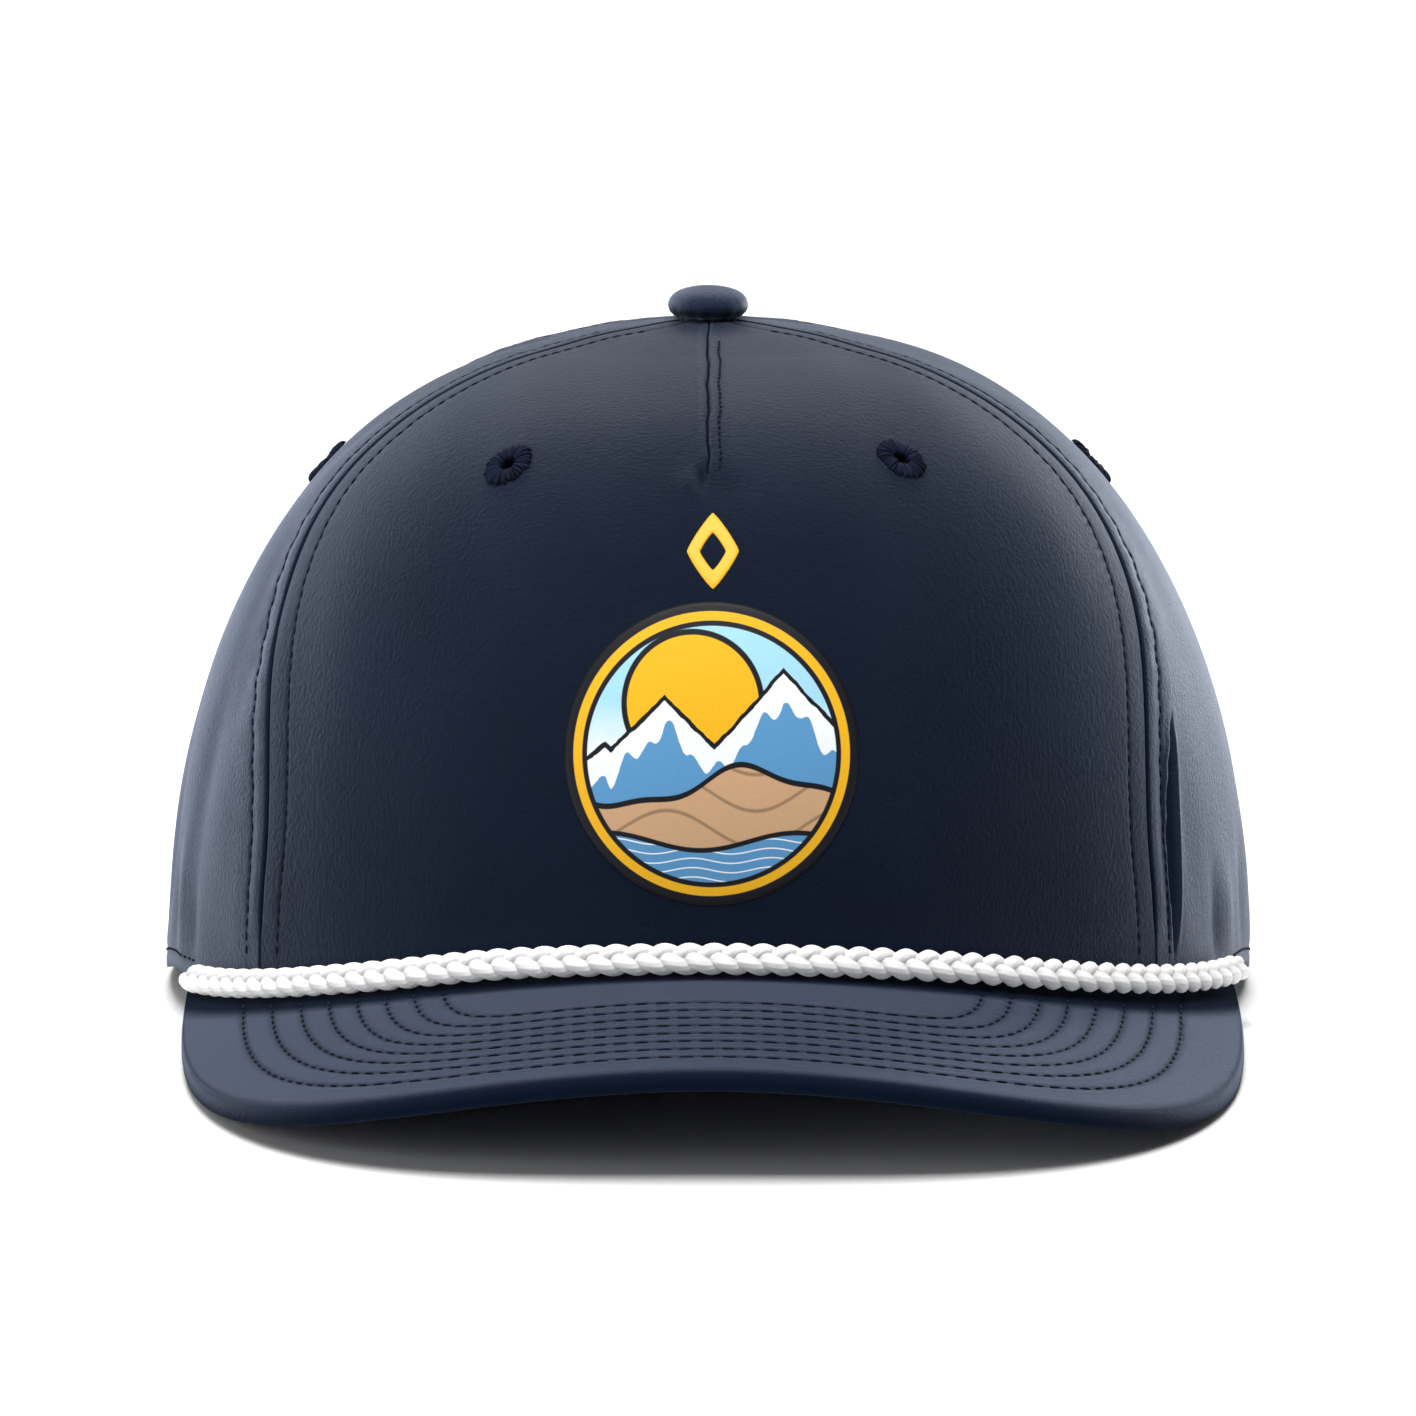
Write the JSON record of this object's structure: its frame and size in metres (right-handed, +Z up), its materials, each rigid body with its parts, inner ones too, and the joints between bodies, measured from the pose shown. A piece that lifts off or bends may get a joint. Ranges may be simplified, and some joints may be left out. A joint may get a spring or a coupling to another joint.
{
  "type": "five-panel rope cap",
  "caption": "Five-panel cap with a boxy one-piece front, a curved stitched visor, a braided cord where they meet, a covered button, eyelets and a strap across the back arch.",
  "frame": {"origin": "on the floor, at the middle of the cap's length and width", "axes": "+Z up, -Y towards the visor's tip, +X towards the right of the picture"},
  "size_m": [0.1846, 0.2518, 0.1191],
  "materials": {
    "navy_cloth": "smooth fine weave with a soft sheen",
    "navy_thread": "embroidered",
    "white_cord": "braided, matt",
    "band_cloth": "plain twill, matt",
    "strap_plastic": "satin moulded"
  },
  "bodies": {
    "root": {"front_panel": "navy_cloth", "side_panel_left": "navy_cloth", "side_panel_right": "navy_cloth", "back_panel_left": "navy_cloth", "back_panel_right": "navy_cloth", "visor": "navy_cloth", "button": "navy_cloth", "rope": "white_cord", "sweatband": "band_cloth", "snap_strap": "strap_plastic", "eyelet_front_left": "navy_thread", "eyelet_front_right": "navy_thread", "eyelet_side_left": "navy_thread", "eyelet_side_right": "navy_thread", "eyelet_back_left": "navy_thread", "eyelet_back_right": "navy_thread"}
  },
  "joints": []
}
